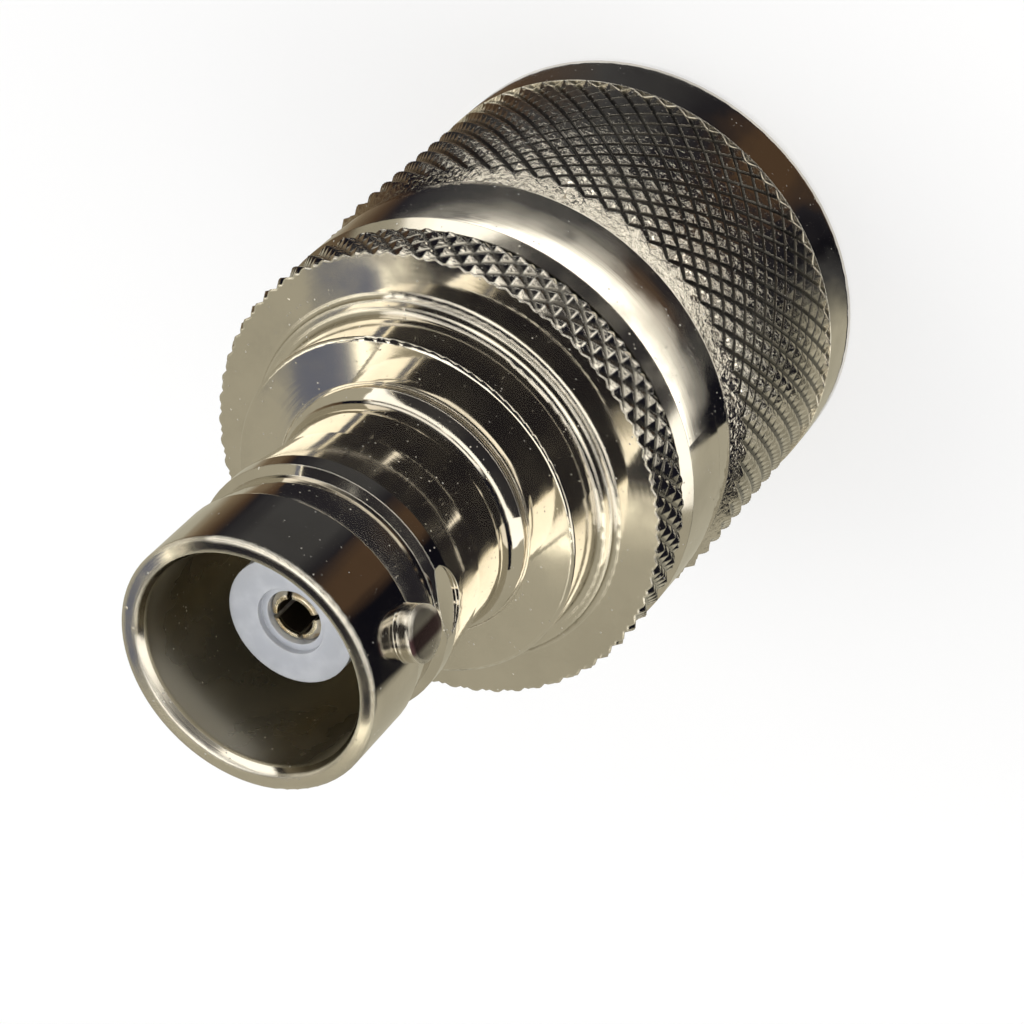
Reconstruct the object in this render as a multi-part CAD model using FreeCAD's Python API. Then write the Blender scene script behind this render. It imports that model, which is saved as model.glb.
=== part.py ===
import FreeCAD
import Part
import math
import os

# Adapter from a bayonet jack to a screw-on plug, in millimetres.
# Z is the common axis. The rim of the coupling nut stands on Z = 0 and the jack's mouth is on top.
# A depth is a distance below the mouth, so a larger depth is nearer to the nut's rim.

# Whole length, from the jack's mouth to the nut's rim
overall_length = 30.9

# Clearances: pressed or screwed pieces, flat faces, and the nut on its race
press_clearance = 0.02
face_clearance = 0.02
race_clearance = 0.08

# Jack barrel and its bore
barrel_radius = 4.83
barrel_wall = 0.75
barrel_length = 3.05
lip_round = 0.08
mouth_chamfer = 0.2
mouth_chamfer_length = 0.38
bore_depth = 8.4

# Waist behind the barrel, then the collar and the tapered body
ridge_chamfer = 0.06
waist_cut = 0.27
waist_taper_length = 1.6
waist_length = 0.2
collar_height = 0.04
collar_lead_length = 0.22
collar_length = 0.63
body_taper_length = 2.3
body_cut = 0.27
body_end_length = 1.6
body_end_cut = 0.33
flare_length = 1.1
flare_height = 0.1
foot_length = 0.25
foot_groove_width = 0.1
foot_groove_cut = 0.08

# Bayonet studs, each with the milled flat and the scalloped wall behind it
stud_radius = 0.99
stud_height = 0.67
stud_root = 0.5
stud_depth = 2.65
stud_angles = (0.0, 180.0)
pocket_cut = 0.15
pocket_radius = 1.65
pocket_offset = 1.78
pocket_turn = -4.0

# Ring behind the body, its moulding and the knurled flange
ring_height = 1.81
ring_length = 2.0
ring_round = 0.14
ring_cove = 0.26
step_height = 0.51
step_length = 0.3
step_round = 0.06
step_cove = 0.2
flange_undersize = 0.25
flange_length = 2.1
flange_edge = 0.12
flange_knurl_starts = 60

# Thrust boss, race of the coupling nut with its groove, and threaded spigot
boss_height = 1.0
boss_length = 0.35
race_height = 1.15
race_length = 4.1
race_groove_cut = 0.7
spigot_wall = 0.55
spigot_length = 2.6
spigot_chamfer = 0.2

# Jack insulator: slim nose, wider seat, countersink round the contact
web_radius = 2.4
web_length = 0.8
jack_seat_step = 1.1
nose_depth = 2.95
jack_insulator_length = 11.4
countersink_step = 0.27
countersink_depth = 0.25
contact_hole_clearance = 0.04

# Jack contact: slotted socket, collar and solder rod
contact_radius = 1.0
contact_wall = 0.31
contact_recess = 0.3
contact_chamfer = 0.18
socket_length = 5.4
slot_width = 0.2
slot_length = 4.2
collar_seat_step = 0.5
collar_seat_length = 2.4
contact_collar_length = 0.9
rod_step = 0.2
rod_length = 6.6

# Plug insulator and plug pin
insulator_gap = 1.05
plug_seat_radius = 3.9
plug_recess_step = 1.0
plug_recess_length = 1.9
plug_face_setback = 0.2
pin_radius = 1.98
pin_tail_step = 0.38
pin_tip_recess = 0.45
pin_tip_round = 1.1
pin_tail_overlap = 2.85
pin_hole_clearance = 0.03

# Plug ferrule with its shoulder and two locating teeth
ferrule_wall = 0.52
ferrule_lip = 0.3
ferrule_length = 4.96
ferrule_round = 0.25
shoulder_height = 1.03
shoulder_length = 1.2
tooth_width = 1.3
tooth_height = 0.6
tooth_length = 0.44
tooth_angles = (90.0, 270.0)

# Snap ring that holds the nut on its race
snap_offset = 1.85
snap_thickness = 0.75
snap_overhang = 0.5
snap_gap = 2.4
snap_groove_clearance = 0.1
snap_side_clearance = 0.05
snap_rim_clearance = 0.08
nut_travel = 0.9
travel_reserve = 0.1

# Coupling nut, from its thread's root outwards and from its rear face to its rim
thread_room = 0.98
thread_entry_chamfer = 0.3
relief_cut = 0.15
relief_length = 1.6
lip_wall = 0.45
nut_wall = 1.32
neck_step = 0.3
neck_length = 2.73
neck_chamfer = 0.3
neck_chamfer_length = 0.4
band_step = 0.42
band_edge = 0.1
band_length = 1.15
cone_length = 0.77
rim_band_length = 2.35
rim_chamfer = 0.22
rim_chamfer_length = 0.3
nut_knurl_starts = 60

# Knurls: left-hand and right-hand grooves at 45 degrees, cut a little below the blank's surface
knurl_cut = 0.22
knurl_allowance = 0.05
knurl_overrun = 0.12

ORIGIN = FreeCAD.Vector(0, 0, 0)
UP = FreeCAD.Vector(0, 0, 1)

# Radii that follow from the sizes above, from the inside outwards
bore_radius = barrel_radius - barrel_wall
waist_radius = barrel_radius - waist_cut
collar_radius = barrel_radius + collar_height
flare_radius = barrel_radius + flare_height
ring_radius = flare_radius + ring_height
step_radius = ring_radius + step_height
stud_tip_radius = barrel_radius + stud_height
pocket_floor = barrel_radius - pocket_cut
jack_seat_radius = web_radius + jack_seat_step
countersink_radius = contact_radius + countersink_step
socket_radius = contact_radius - contact_wall
collar_seat_radius = contact_radius + collar_seat_step
rod_radius = contact_radius - rod_step
pin_tail_radius = pin_radius - pin_tail_step
plug_recess_radius = plug_seat_radius + plug_recess_step
spigot_radius = plug_recess_radius + spigot_wall
ferrule_radius = spigot_radius + ferrule_wall
shoulder_radius = ferrule_radius + shoulder_height
thread_radius = shoulder_radius + thread_room
race_radius = spigot_radius + race_height
boss_radius = race_radius + boss_height
race_groove_radius = race_radius - race_groove_cut
snap_inner_radius = race_groove_radius + snap_groove_clearance
snap_outer_radius = race_radius + snap_overhang
nut_radius = thread_radius + nut_wall
flange_radius = nut_radius - flange_undersize

# Depths that follow, from the mouth downwards
waist_depth = barrel_length + waist_taper_length
collar_depth = waist_depth + waist_length + collar_lead_length
body_depth = collar_depth + collar_length
flare_depth = body_depth + body_taper_length + body_end_length
foot_depth = flare_depth + flare_length
ring_depth = foot_depth + foot_length
step_depth = ring_depth + ring_length
flange_depth = step_depth + step_length
flange_end_depth = flange_depth + flange_length
boss_end_depth = flange_end_depth + boss_length
race_end_depth = boss_end_depth + race_length
spigot_end_depth = race_end_depth + spigot_length
jack_seat_depth = bore_depth + web_length
jack_insulator_end = nose_depth + jack_insulator_length
plug_seat_depth = jack_insulator_end + insulator_gap
plug_recess_depth = spigot_end_depth - plug_recess_length
plug_face_depth = spigot_end_depth - plug_face_setback
contact_depth = nose_depth + contact_recess
contact_collar_depth = jack_insulator_end - collar_seat_length + face_clearance
rod_depth = contact_collar_depth + contact_collar_length
rod_end_depth = rod_depth + rod_length
ferrule_depth = race_end_depth + face_clearance
shoulder_end_depth = ferrule_depth + shoulder_length
snap_depth = boss_end_depth + snap_offset
snap_end_depth = snap_depth + snap_thickness
nut_depth = boss_end_depth + face_clearance
lip_end_depth = snap_end_depth + snap_side_clearance + lip_wall
band_depth = nut_depth + neck_length
cone_depth = band_depth + band_length
knurl_end_depth = overall_length - rim_band_length


def point(radius, depth):
    """Place a radius and a depth on the half plane that is turned about Z."""
    return FreeCAD.Vector(radius, 0, overall_length - depth)


def turned(*outline):
    """Turn a closed outline about Z. A step is a corner, or the middle and end of an arc."""
    edges = []
    start = point(*outline[0])
    for step in outline[1:] + outline[:1]:
        if isinstance(step[0], tuple):
            end = point(*step[1])
            edges.append(Part.Arc(start, point(*step[0]), end).toShape())
        else:
            end = point(*step)
            edges.append(Part.LineSegment(start, end).toShape())
        start = end
    return Part.Face(Part.Wire(edges)).revolve(ORIGIN, UP, 360)


def arc_corner(start, corner, end):
    """Quarter of an ellipse, drawn as one arc, that rounds a corner between two points."""
    middle_radius = (start[0] + end[0]) / 2
    middle_depth = (start[1] + end[1]) / 2
    bulge = math.sqrt(2) - 1
    middle = (
        middle_radius + bulge * (corner[0] - middle_radius),
        middle_depth + bulge * (corner[1] - middle_depth),
    )
    return middle, end


def round_out(radius, depth, size):
    """Face to cylinder, going outwards and then down: an outer edge's rounding."""
    start = (radius - size, depth)
    return [start, arc_corner(start, (radius, depth), (radius, depth + size))]


def round_in(radius, depth, size):
    """Cylinder to face, going down and then inwards: the lower outer edge's rounding."""
    start = (radius, depth - size)
    return [start, arc_corner(start, (radius, depth), (radius - size, depth))]


def cove(radius, depth, size):
    """Cylinder to face, going down and then outwards: the filled corner between them."""
    start = (radius, depth - size)
    return [start, arc_corner(start, (radius, depth), (radius + size, depth))]


def ring(inner_radius, outer_radius, start_depth, end_depth):
    """Plain ring or, with no inner radius, a disc."""
    return turned(
        (inner_radius, start_depth),
        (outer_radius, start_depth),
        (outer_radius, end_depth),
        (inner_radius, end_depth),
    )


def radial_cylinder(radius, start, end, depth):
    """Cylinder along X between two distances from the axis, centred at a depth."""
    base = FreeCAD.Vector(start, 0, overall_length - depth)
    return Part.makeCylinder(radius, end - start, base, FreeCAD.Vector(1, 0, 0))


def turned_about_axis(shape, angle):
    """Copy of a shape, turned about Z by an angle in degrees."""
    copy = shape.copy()
    copy.rotate(ORIGIN, UP, angle)
    return copy


def knurled_column(radius, starts, start_depth, rows):
    """Column with a diamond knurl: crests on the radius, and grooves crossing at their deepest."""
    row_length = math.pi * radius / starts

    def node(column, row):
        node_radius = radius if (column + row) % 2 else radius - knurl_cut
        angle = math.pi * (column % (2 * starts)) / starts
        x = node_radius * math.cos(angle)
        y = node_radius * math.sin(angle)
        return FreeCAD.Vector(x, y, overall_length - start_depth - row * row_length)

    def flat(*corners):
        return Part.Face(Part.makePolygon(corners + corners[:1]))

    faces = []
    for row in range(rows):
        for column in range(2 * starts):
            corners = [node(column, row), node(column + 1, row)]
            corners += [node(column + 1, row + 1), node(column, row + 1)]
            if (column + row) % 2:
                corners = corners[1:] + corners[:1]
            faces.append(flat(corners[0], corners[1], corners[2]))
            faces.append(flat(corners[0], corners[2], corners[3]))
    for row in (0, rows):
        faces.append(flat(*(node(column, row) for column in range(2 * starts))))
    return Part.makeSolid(Part.makeShell(faces))


def knurl(blank, radius, starts, start_depth, rows):
    """Cut a diamond knurl into a blank whose surface stands a little above the crests."""
    end_depth = start_depth + rows * math.pi * radius / starts
    sleeve = ring(radius - 2 * knurl_cut, radius + 2 * knurl_cut, start_depth, end_depth)
    waste = sleeve.cut(knurled_column(radius, starts, start_depth, rows))
    return blank.cut(waste)


def rows_over(radius, starts, length):
    """Rows of a 45 degree knurl that cover a length, each half a diamond long."""
    return math.ceil(length * starts / (math.pi * radius))


def jack_outline():
    """Outside of the shell from its mouth to the end of the spigot, then back through its bore."""
    blank_radius = flange_radius + knurl_allowance
    face_radius = flange_radius - flange_edge
    body_mid_radius = barrel_radius - body_cut
    body_end_radius = barrel_radius - body_end_cut
    groove_start = snap_depth - travel_reserve
    groove_end = snap_end_depth + nut_travel + travel_reserve
    body_end = (body_end_radius, flare_depth)
    outside = [
        (bore_radius + mouth_chamfer, 0),
        *round_out(barrel_radius, 0, lip_round),
        (barrel_radius, barrel_length),
        (barrel_radius - ridge_chamfer, barrel_length + ridge_chamfer),
        (waist_radius, waist_depth),
        (waist_radius, waist_depth + waist_length),
        (collar_radius, collar_depth),
        (collar_radius, body_depth),
        (body_mid_radius, body_depth + body_taper_length),
        body_end,
        arc_corner(body_end, (body_end_radius, foot_depth), (flare_radius, foot_depth)),
        (flare_radius, ring_depth + foot_groove_cut),
        (flare_radius + foot_groove_width, ring_depth + foot_groove_cut),
        (flare_radius + foot_groove_width, ring_depth),
        *round_out(ring_radius, ring_depth, ring_round),
        *cove(ring_radius, step_depth, ring_cove),
        *round_out(step_radius, step_depth, step_round),
        *cove(step_radius, flange_depth, step_cove),
        (face_radius, flange_depth),
        (blank_radius, flange_depth + blank_radius - face_radius),
        (blank_radius, flange_end_depth - blank_radius + face_radius),
        (face_radius, flange_end_depth),
        (boss_radius, flange_end_depth),
        (boss_radius, boss_end_depth),
        (race_radius, boss_end_depth),
        (race_radius, groove_start),
        (race_groove_radius, groove_start),
        (race_groove_radius, groove_end),
        (race_radius, groove_end),
        (race_radius, race_end_depth),
        (spigot_radius, race_end_depth),
        (spigot_radius, spigot_end_depth - spigot_chamfer),
        (spigot_radius - spigot_chamfer, spigot_end_depth),
    ]
    inside = [
        (plug_recess_radius, spigot_end_depth),
        (plug_recess_radius, plug_recess_depth),
        (plug_seat_radius, plug_recess_depth),
        (plug_seat_radius, plug_seat_depth),
        (jack_seat_radius, plug_seat_depth),
        (jack_seat_radius, jack_seat_depth),
        (web_radius, jack_seat_depth),
        (web_radius, bore_depth),
        (bore_radius, bore_depth),
        (bore_radius, mouth_chamfer_length),
    ]
    return outside + inside


def bayonet_stud():
    """One stud, with its tip turned to the barrel's own axis."""
    root = bore_radius + barrel_wall * stud_root
    blank = radial_cylinder(stud_radius, root, stud_tip_radius + stud_height, stud_depth)
    return blank.common(ring(0, stud_tip_radius, 0, stud_depth + 2 * stud_radius))


def stud_pocket():
    """Space of the mill that leaves the flat floor and the scalloped wall behind a stud."""
    start = barrel_length + ridge_chamfer
    centre = stud_depth + pocket_offset
    scallop = radial_cylinder(pocket_radius, pocket_floor, flange_radius, centre)
    corner = FreeCAD.Vector(pocket_floor, -pocket_radius, overall_length - centre)
    run = Part.makeBox(flange_radius - pocket_floor, 2 * pocket_radius, centre - start, corner)
    return scallop.fuse(run)


def make_jack_shell():
    """Turned shell: barrel with studs, body, ring, knurled flange, race and spigot."""
    shell = turned(*jack_outline())
    for angle in stud_angles:
        shell = shell.cut(turned_about_axis(stud_pocket(), angle + pocket_turn))
    for angle in stud_angles:
        shell = shell.fuse(turned_about_axis(bayonet_stud(), angle))
    shell = shell.removeSplitter()
    rows = rows_over(flange_radius, flange_knurl_starts, flange_length + 2 * knurl_overrun)
    extra = rows * math.pi * flange_radius / flange_knurl_starts - flange_length
    return knurl(shell, flange_radius, flange_knurl_starts, flange_depth - extra / 2, rows)


def make_jack_insulator():
    """Insulator with the slim nose that stands in the bore, pressed in from behind."""
    hole_radius = contact_radius + contact_hole_clearance
    nose_radius = web_radius - press_clearance
    seat_radius = jack_seat_radius - press_clearance
    return turned(
        (countersink_radius, nose_depth),
        (nose_radius, nose_depth),
        (nose_radius, jack_seat_depth + face_clearance),
        (seat_radius, jack_seat_depth + face_clearance),
        (seat_radius, jack_insulator_end),
        (collar_seat_radius, jack_insulator_end),
        (collar_seat_radius, jack_insulator_end - collar_seat_length),
        (hole_radius, jack_insulator_end - collar_seat_length),
        (hole_radius, nose_depth + countersink_depth),
        (countersink_radius, nose_depth + countersink_depth),
    )


def make_jack_contact():
    """Centre contact: socket with crossed slots, collar and rod."""
    contact = turned(
        (socket_radius, contact_depth),
        (contact_radius - contact_chamfer, contact_depth),
        (contact_radius, contact_depth + contact_chamfer),
        (contact_radius, contact_collar_depth),
        (collar_seat_radius - press_clearance, contact_collar_depth),
        (collar_seat_radius - press_clearance, rod_depth),
        (rod_radius, rod_depth),
        (rod_radius, rod_end_depth),
        (0, rod_end_depth),
        (0, contact_depth + socket_length),
        (socket_radius, contact_depth + socket_length),
    )
    slot_bottom = overall_length - contact_depth - slot_length
    corner = FreeCAD.Vector(-contact_radius, -slot_width / 2, slot_bottom)
    slot = Part.makeBox(2 * contact_radius, slot_width, slot_length, corner)
    return contact.cut(slot).cut(turned_about_axis(slot, 90))


def make_plug_insulator():
    """Insulator of the plug side, seated in the shell's stepped bore."""
    hole_radius = pin_tail_radius + press_clearance
    seat_radius = plug_seat_radius - press_clearance
    recess_radius = plug_recess_radius - press_clearance
    return turned(
        (hole_radius, plug_seat_depth + face_clearance),
        (seat_radius, plug_seat_depth + face_clearance),
        (seat_radius, plug_recess_depth + face_clearance),
        (recess_radius, plug_recess_depth + face_clearance),
        (recess_radius, plug_face_depth),
        (hole_radius, plug_face_depth),
    )


def make_plug_pin():
    """Plug pin with a rounded tip and a tail that takes the contact's rod."""
    hole_radius = rod_radius + pin_hole_clearance
    hole_end = rod_end_depth + pin_hole_clearance
    seat = plug_face_depth + face_clearance
    tip_depth = overall_length - pin_tip_recess
    return turned(
        (hole_radius, rod_end_depth - pin_tail_overlap),
        (pin_tail_radius, rod_end_depth - pin_tail_overlap),
        (pin_tail_radius, seat),
        (pin_radius, seat),
        *round_in(pin_radius, tip_depth, pin_tip_round),
        (0, tip_depth),
        (0, hole_end),
        (hole_radius, hole_end),
    )


def make_ferrule():
    """Ferrule screwed on the spigot, with the shoulder and its locating teeth."""
    bore = spigot_radius + press_clearance
    step = spigot_end_depth + face_clearance
    end = shoulder_end_depth + ferrule_length
    ferrule = turned(
        (bore, ferrule_depth),
        (shoulder_radius, ferrule_depth),
        (shoulder_radius, shoulder_end_depth),
        (ferrule_radius, shoulder_end_depth),
        *round_in(ferrule_radius, end, ferrule_round),
        (spigot_radius - ferrule_lip, end),
        (spigot_radius - ferrule_lip, step),
        (bore, step),
    )
    root = shoulder_radius - tooth_length
    sector = ring(root, shoulder_radius, shoulder_end_depth, shoulder_end_depth + tooth_height)
    corner = FreeCAD.Vector(0, -tooth_width / 2, 0)
    tooth = sector.common(Part.makeBox(flange_radius, tooth_width, overall_length, corner))
    for angle in tooth_angles:
        ferrule = ferrule.fuse(turned_about_axis(tooth, angle))
    return ferrule.removeSplitter()


def make_snap_ring():
    """Flat spring ring, open at one side, in the groove of the race."""
    snap = ring(snap_inner_radius, snap_outer_radius, snap_depth, snap_end_depth)
    corner = FreeCAD.Vector(-snap_gap / 2, 0, 0)
    return snap.cut(Part.makeBox(snap_gap, flange_radius, overall_length, corner))


def make_coupling_nut():
    """Coupling nut: neck, shallow band, scalloped cone, knurled grip and smooth rim."""
    bore = race_radius + race_clearance
    groove_radius = snap_outer_radius + snap_rim_clearance
    groove_start = snap_depth - snap_side_clearance
    groove_end = snap_end_depth + snap_side_clearance
    relief_end = lip_end_depth + relief_length
    relief_radius = thread_radius + relief_cut
    neck_radius = nut_radius - neck_step
    band_radius = nut_radius - band_step
    blank_radius = nut_radius + knurl_allowance
    nut = turned(
        (bore, nut_depth),
        (neck_radius - neck_chamfer, nut_depth),
        (neck_radius, nut_depth + neck_chamfer_length),
        (neck_radius, band_depth),
        (band_radius, band_depth + band_edge),
        (band_radius, cone_depth),
        (blank_radius, cone_depth + cone_length),
        (blank_radius, knurl_end_depth),
        (nut_radius, knurl_end_depth),
        (nut_radius, overall_length - rim_chamfer_length),
        (nut_radius - rim_chamfer, overall_length),
        (thread_radius + thread_entry_chamfer, overall_length),
        (thread_radius, overall_length - thread_entry_chamfer),
        (thread_radius, relief_end),
        (relief_radius, relief_end),
        (relief_radius, lip_end_depth),
        (bore, lip_end_depth),
        (bore, groove_end),
        (groove_radius, groove_end),
        (groove_radius, groove_start),
        (bore, groove_start),
    )
    rows = rows_over(nut_radius, nut_knurl_starts, knurl_end_depth - cone_depth - knurl_overrun)
    start = knurl_end_depth - rows * math.pi * nut_radius / nut_knurl_starts
    return knurl(nut, nut_radius, nut_knurl_starts, start, rows)


NODES = {
    "bnc_shell": make_jack_shell,
    "bnc_insulator": make_jack_insulator,
    "bnc_contact": make_jack_contact,
    "uhf_insulator": make_plug_insulator,
    "uhf_center_pin": make_plug_pin,
    "uhf_ferrule": make_ferrule,
    "snap_ring": make_snap_ring,
    "coupling_nut": make_coupling_nut,
}

os.makedirs("parts", exist_ok=True)
for name, make in NODES.items():
    solid = make()
    solid.exportStep(os.path.join("parts", name + ".step"))
    box = solid.BoundBox
    print(name, "solids", len(solid.Solids), "faces", len(solid.Faces), "valid", solid.isValid(), end=" ")
    print("volume", round(solid.Volume, 2), "Z", round(box.ZMin, 2), "to", round(box.ZMax, 2))
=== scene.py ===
# %% [markdown]
# A coaxial adapter, bright nickel over turned brass, stands on the rim of its coupling nut.
# The jack's mouth is on top and looks towards the camera.
# This lesson dresses the exact model of the adapter: it sets the camera, builds a small studio,
# gives every piece its finish and adds the thread that the exact model leaves out.

# %% Load the model
import math

import bmesh
import bpy
from mathutils import Matrix, Vector


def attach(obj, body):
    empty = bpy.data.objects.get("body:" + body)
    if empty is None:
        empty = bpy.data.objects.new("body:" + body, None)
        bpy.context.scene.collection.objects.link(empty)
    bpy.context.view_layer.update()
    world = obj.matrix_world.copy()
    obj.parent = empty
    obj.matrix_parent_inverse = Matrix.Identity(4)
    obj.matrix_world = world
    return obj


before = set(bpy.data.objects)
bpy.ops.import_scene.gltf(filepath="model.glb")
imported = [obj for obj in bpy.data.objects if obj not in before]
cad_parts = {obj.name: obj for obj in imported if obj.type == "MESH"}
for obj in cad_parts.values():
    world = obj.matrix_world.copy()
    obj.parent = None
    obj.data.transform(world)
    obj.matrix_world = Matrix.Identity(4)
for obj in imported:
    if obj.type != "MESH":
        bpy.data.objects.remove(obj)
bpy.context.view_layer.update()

MM = 0.001

# %% [markdown]
# The photograph looks down into the jack from about 41 degrees off its axis, from little more
# than 110 mm away, with the picture turned so that the mouth points to the lower left.
# A camera that aims at a point and is then rolled about its own view line gives the same frame.

# %% Camera
CAMERA_PLACE = Vector((59.12, 47.02, 104.38)) * MM
CAMERA_AIM = Vector((1.883, -2.19, 15.968)) * MM
CAMERA_ROLL = math.radians(-136.68)
SENSOR = 36.0
FOCAL_LENGTH = 112.17


def make_camera():
    """Camera at the photograph's place, aimed and rolled."""
    data = bpy.data.cameras.new("camera")
    data.sensor_width = SENSOR
    data.lens = FOCAL_LENGTH
    data.clip_start = 5 * MM
    data.clip_end = 5.0
    camera = bpy.data.objects.new("camera", data)
    bpy.context.scene.collection.objects.link(camera)
    aim = (CAMERA_AIM - CAMERA_PLACE).to_track_quat("-Z", "Y").to_matrix().to_4x4()
    roll = Matrix.Rotation(CAMERA_ROLL, 4, "Z")
    camera.matrix_world = Matrix.Translation(CAMERA_PLACE) @ aim @ roll
    bpy.context.scene.camera = camera


make_camera()
bpy.context.scene.view_settings.view_transform = "Standard"
print("camera is", round((CAMERA_AIM - CAMERA_PLACE).length / MM, 1), "mm from its aim")

# %% [markdown]
# Materials and cards are both node trees. A few small helpers keep them readable: they add a node
# and wire or set its sockets, do arithmetic, open a node group with named sockets, colour by a
# ramp, and measure a place on the adapter from its axis, in millimetres.

# %% Helpers for node trees
def add(tree, kind, sockets=None, **settings):
    """Add a node, set its options, and wire or set its sockets."""
    node = tree.nodes.new(kind)
    for name, value in settings.items():
        setattr(node, name, value)
    for name, value in (sockets or {}).items():
        if isinstance(value, bpy.types.NodeSocket):
            tree.links.new(value, node.inputs[name])
        else:
            node.inputs[name].default_value = value
    return node


def maths(tree, operation, *values):
    """Result of a Math node."""
    return add(tree, "ShaderNodeMath", dict(enumerate(values)), operation=operation).outputs[0]


def new_group(name, inputs, outputs):
    """Empty node group with number inputs and the named outputs, and its two end nodes."""
    group = bpy.data.node_groups.new(name, "ShaderNodeTree")
    for title, value in inputs.items():
        socket = group.interface.new_socket(title, in_out="INPUT", socket_type="NodeSocketFloat")
        socket.default_value = value
    for title, kind in outputs.items():
        group.interface.new_socket(title, in_out="OUTPUT", socket_type=kind)
    start = group.nodes.new("NodeGroupInput")
    end = group.nodes.new("NodeGroupOutput")
    return group, start, end


def ramp(tree, factor, stops):
    """Colour of a ramp whose stops are (place, colour)."""
    node = add(tree, "ShaderNodeValToRGB", {"Fac": factor})
    bar = node.color_ramp
    while len(bar.elements) < len(stops):
        bar.elements.new(0.5)
    for element, (place, colour) in zip(bar.elements, stops):
        element.position = place
        element.color = (*colour, 1)
    return node.outputs["Color"]


def blend(tree, factor, first, second):
    """Mix of two colours, each a socket or a constant."""
    first = first if isinstance(first, bpy.types.NodeSocket) else (*first, 1)
    second = second if isinstance(second, bpy.types.NodeSocket) else (*second, 1)
    return add(tree, "ShaderNodeMix", {0: factor, 6: first, 7: second}, data_type="RGBA").outputs[2]


def smooth_step(tree, value, low, high):
    """Number that rises smoothly from 0 at low to 1 at high."""
    sockets = {"Value": value, "From Min": low, "From Max": high}
    step = add(tree, "ShaderNodeMapRange", sockets, interpolation_type="SMOOTHSTEP")
    return step.outputs["Result"]


def millimetres(tree):
    """Object coordinates in millimetres."""
    sockets = {0: add(tree, "ShaderNodeTexCoord").outputs["Object"], "Scale": 1 / MM}
    return add(tree, "ShaderNodeVectorMath", sockets, operation="SCALE").outputs[0]


def from_axis(tree, place):
    """A place's three coordinates, its part square to the axis, and how long that part is."""
    parts = add(tree, "ShaderNodeSeparateXYZ", {0: place}).outputs
    across = add(tree, "ShaderNodeCombineXYZ", {"X": parts["X"], "Y": parts["Y"]}).outputs[0]
    radius = add(tree, "ShaderNodeVectorMath", {0: across}, operation="LENGTH").outputs["Value"]
    return parts, across, radius


def radius_and_height(tree):
    """Distance from the axis and height, both in millimetres."""
    parts, _, radius = from_axis(tree, millimetres(tree))
    return radius, parts["Z"]


def product(tree, *values):
    """Product of two or more numbers."""
    total = values[0]
    for value in values[1:]:
        total = maths(tree, "MULTIPLY", total, value)
    return total


def noise(tree, size, detail):
    """Uneven number about 0.5 whose lumps are about this many millimetres wide."""
    sockets = {"Vector": millimetres(tree), "Scale": 1 / size, "Detail": detail}
    return add(tree, "ShaderNodeTexNoise", sockets).outputs["Fac"]


def between(tree, value, low, high):
    """1 where a number lies between two constants, 0 elsewhere."""
    return maths(tree, "COMPARE", value, (low + high) / 2, (high - low) / 2)


# %% [markdown]
# Polished nickel has hardly a colour of its own: it shows the room. So the room comes before the
# materials. A pale floor, a white world and two soft lamps give the plain ground. The camera sees
# the floor paler than it is, and from below it sees through it, so the underside can be looked at.

# %% Studio: floor, world and lamps
FLOOR_COLOUR = (0.94, 0.94, 0.94)
FLOOR_HALF_SIZE = 2.0
FLOOR_DROP = 0.01
PLAIN_SHARE = 0.55
WORLD_STRENGTH = 0.8
LAMP_SIZE = 260
LAMP_AIM = (0, 0, 15)


def link(piece):
    """Put an object in the scene and hand it back."""
    bpy.context.scene.collection.objects.link(piece)
    return piece


def new_piece(name, shape, material):
    """Object at the origin from a bmesh, with one material."""
    mesh = bpy.data.meshes.new(name)
    shape.to_mesh(mesh)
    shape.free()
    mesh.materials.append(material)
    return link(bpy.data.objects.new(name, mesh))


def seen_rays(tree):
    """1 for rays that show the background, straight or by way of metal or glass."""
    path = add(tree, "ShaderNodeLightPath")
    direct = maths(tree, "MAXIMUM", path.outputs["Is Camera Ray"], path.outputs["Is Glossy Ray"])
    return maths(tree, "MAXIMUM", direct, path.outputs["Is Transmission Ray"])


def mix_shader(tree, factor, first, second):
    """First surface where the factor is 0, second where it is 1."""
    return add(tree, "ShaderNodeMixShader", {0: factor, 1: first, 2: second}).outputs[0]


def make_floor():
    """Large plain floor under the nut's rim."""
    paint = bpy.data.materials.new("floor paint")
    paint.use_nodes = True
    tree = paint.node_tree
    surface = tree.nodes["Principled BSDF"]
    surface.inputs["Base Color"].default_value = (*FLOOR_COLOUR, 1)
    surface.inputs["Roughness"].default_value = 0.8
    plain = add(tree, "ShaderNodeEmission").outputs[0]
    share = maths(tree, "MULTIPLY", seen_rays(tree), PLAIN_SHARE)
    above = mix_shader(tree, share, surface.outputs[0], plain)
    from_below = add(tree, "ShaderNodeNewGeometry").outputs["Backfacing"]
    clear = add(tree, "ShaderNodeBsdfTransparent").outputs[0]
    whole = mix_shader(tree, from_below, above, clear)
    tree.links.new(whole, tree.nodes["Material Output"].inputs["Surface"])
    shape = bmesh.new()
    bmesh.ops.create_grid(shape, x_segments=1, y_segments=1, size=FLOOR_HALF_SIZE)
    bmesh.ops.translate(shape, verts=shape.verts, vec=(0, 0, -FLOOR_DROP * MM))
    new_piece("floor", shape, paint)


def make_world():
    """Even surroundings that look plain white and light the adapter a little less."""
    world = bpy.data.worlds.new("world")
    world.use_nodes = True
    tree = world.node_tree
    background = tree.nodes["Background"]
    background.inputs["Color"].default_value = (1, 1, 1, 1)
    strength = maths(tree, "MULTIPLY_ADD", seen_rays(tree), 1 - WORLD_STRENGTH, WORLD_STRENGTH)
    tree.links.new(strength, background.inputs["Strength"])
    bpy.context.scene.world = world


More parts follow.
